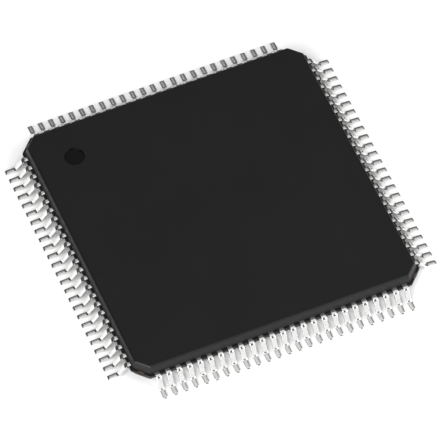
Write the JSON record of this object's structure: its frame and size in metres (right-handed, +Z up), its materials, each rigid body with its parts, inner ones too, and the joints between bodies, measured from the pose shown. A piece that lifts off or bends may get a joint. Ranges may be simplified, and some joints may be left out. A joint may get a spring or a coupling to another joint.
{
  "type": "quad flat pack chip",
  "caption": "Thin square moulded chip package with gull-wing leads on four sides, cut corners and a lead 1 dimple.",
  "frame": {"origin": "middle of the package on the plane of the lead feet", "axes": "+Z up out of the marked face, +X to the right and +Y to the back, with lead 1 at the left back corner"},
  "size_m": [0.016, 0.016, 0.0011],
  "materials": {
    "moulding_resin": "fine sparked matt surface of black moulding resin",
    "plated_leads": "matt tin plate",
    "lead_frame_copper": "plated lead frame sheet",
    "die_adhesive": "silver filled adhesive",
    "silicon": "polished silicon",
    "gold_wire": "bright drawn wire",
    "tape_film": "amber film"
  },
  "bodies": {
    "root": {"mold_body": "moulding_resin", "leads_left": "plated_leads", "leads_front": "plated_leads", "leads_right": "plated_leads", "leads_back": "plated_leads", "die_paddle": "lead_frame_copper", "die_attach": "die_adhesive", "silicon_die": "silicon", "wires_left": "gold_wire", "wires_front": "gold_wire", "wires_right": "gold_wire", "wires_back": "gold_wire", "lead_tape": "tape_film"}
  },
  "joints": []
}
